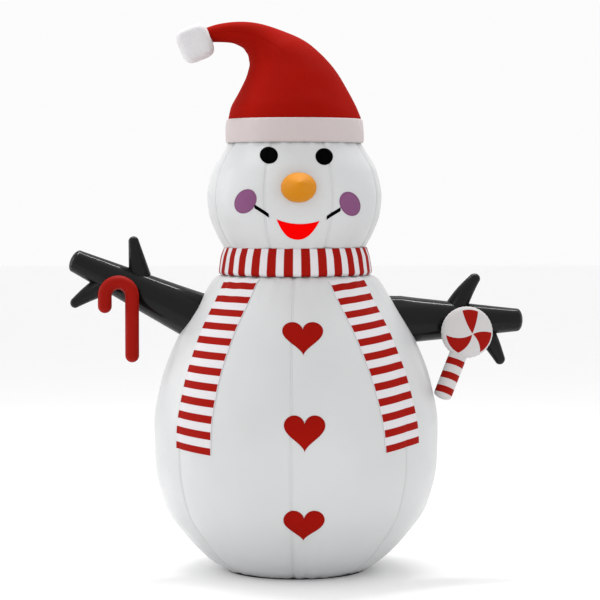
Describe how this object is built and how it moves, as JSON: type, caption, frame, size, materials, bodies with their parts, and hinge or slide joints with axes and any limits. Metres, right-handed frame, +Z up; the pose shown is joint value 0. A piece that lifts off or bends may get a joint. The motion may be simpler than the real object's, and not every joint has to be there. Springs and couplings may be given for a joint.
{
  "type": "inflatable yard snowman",
  "caption": "Tall air-filled fabric snowman with bent hat, striped scarf, stick arms holding candy toys, and a blower, zip and tie-downs at the back.",
  "frame": {"origin": "on the ground under the centre of the body, in the middle of the base panel's underside", "axes": "+Z up along the body's axis; -Y is the front, where the face looks; +X is on the right of someone facing the snowman"},
  "size_m": [1.9793, 1.239, 2.39],
  "materials": {
    "white_shell": "coated polyester, soft sheen",
    "base_fabric": "woven ground sheet",
    "hat_red": "brushed polyester, matte",
    "brim_white": "short plush, matte",
    "puff_white": "short plush, matte",
    "nose_orange": "coated polyester, satin",
    "trim_black": "woven trim, matte",
    "cheek_purple": "woven trim, matte",
    "mouth_red": "woven trim, matte",
    "scarf_striped": "printed polyester, red stripes on white",
    "heart_red": "woven trim, matte",
    "arm_black": "coated polyester, glossy",
    "cane_red": "coated polyester, satin",
    "candy_striped": "printed polyester, red and white",
    "housing_black": "moulded, fine texture",
    "plastic_grey": "moulded",
    "gland_rubber": "moulded",
    "steel": "plated",
    "webbing_black": "woven webbing",
    "lamp_clear": "clear moulded lens"
  },
  "bodies": {
    "snowman": {"body_envelope": "white_shell", "head_envelope": "white_shell", "base_panel": "base_fabric", "hat_crown": "hat_red", "hat_brim": "brim_white", "hat_pompom": "puff_white", "nose": "nose_orange", "eye_left": "trim_black", "eye_right": "trim_black", "cheek_left": "cheek_purple", "cheek_right": "cheek_purple", "smile_line_left": "trim_black", "smile_line_right": "trim_black", "mouth": "mouth_red", "scarf_collar": "scarf_striped", "scarf_tail_left": "scarf_striped", "scarf_tail_right": "scarf_striped", "heart_top": "heart_red", "heart_middle": "heart_red", "heart_bottom": "heart_red", "arm_left": "arm_black", "arm_right": "arm_black", "twig_left_upper": "arm_black", "twig_left_lower": "arm_black", "twig_right_upper": "arm_black", "twig_right_lower": "arm_black", "candy_cane": "cane_red", "lollipop_disc": "candy_striped", "lollipop_stick": "candy_striped", "blower_housing": "housing_black", "inlet_grille": "housing_black", "outlet_guard": "housing_black", "motor_bracket": "plastic_grey", "motor": "steel", "port_sleeve": "white_shell", "power_gland": "gland_rubber", "zip_tape": "webbing_black", "zip_chain": "plastic_grey", "led_cable": "gland_rubber", "led_lamp_1": "lamp_clear", "led_lamp_2": "lamp_clear", "led_lamp_3": "lamp_clear", "led_lamp_4": "lamp_clear", "led_loop_1": "webbing_black", "led_loop_2": "webbing_black", "led_loop_3": "webbing_black", "stake_loop_1": "webbing_black", "stake_loop_2": "webbing_black", "stake_loop_3": "webbing_black", "stake_loop_4": "webbing_black", "tether_tab_left": "webbing_black", "tether_tab_right": "webbing_black"},
    "impeller_body": {"impeller": "plastic_grey", "impeller_shaft": "steel"},
    "zip_slider_body": {"zip_slider": "steel"},
    "zip_pull_body": {"zip_pull": "steel"},
    "tether_ring_left_body": {"tether_ring_left": "steel"},
    "tether_ring_right_body": {"tether_ring_right": "steel"}
  },
  "joints": [
    {"name": "impeller_spin", "type": "hinge", "parent": "snowman", "child": "impeller_body", "pos_m": [0, 0.53766, 0.24261], "axis": [0, 0.9063, -0.4226], "continuous": true},
    {"name": "zip_slide", "type": "hinge", "parent": "snowman", "child": "zip_slider_body", "pos_m": [-0.27829, -0.47787, 0.60171], "axis": [-0.8641, 0.5032, 0], "range_deg": [0, 12.4]},
    {"name": "zip_pull_flip", "type": "hinge", "parent": "zip_slider_body", "child": "zip_pull_body", "pos_m": [0.31721, 0.54472, 0.63653], "axis": [-0.8641, 0.5032, 0], "range_deg": [-150, 0]},
    {"name": "tether_ring_left_swing", "type": "hinge", "parent": "snowman", "child": "tether_ring_left_body", "pos_m": [-0.23808, 0.41236, 1.10406], "axis": [-0.866, -0.5, 0], "range_deg": [-140, 0]},
    {"name": "tether_ring_right_swing", "type": "hinge", "parent": "snowman", "child": "tether_ring_right_body", "pos_m": [0.23588, 0.40855, 1.10406], "axis": [-0.866, 0.5, 0], "range_deg": [-140, 0]}
  ]
}
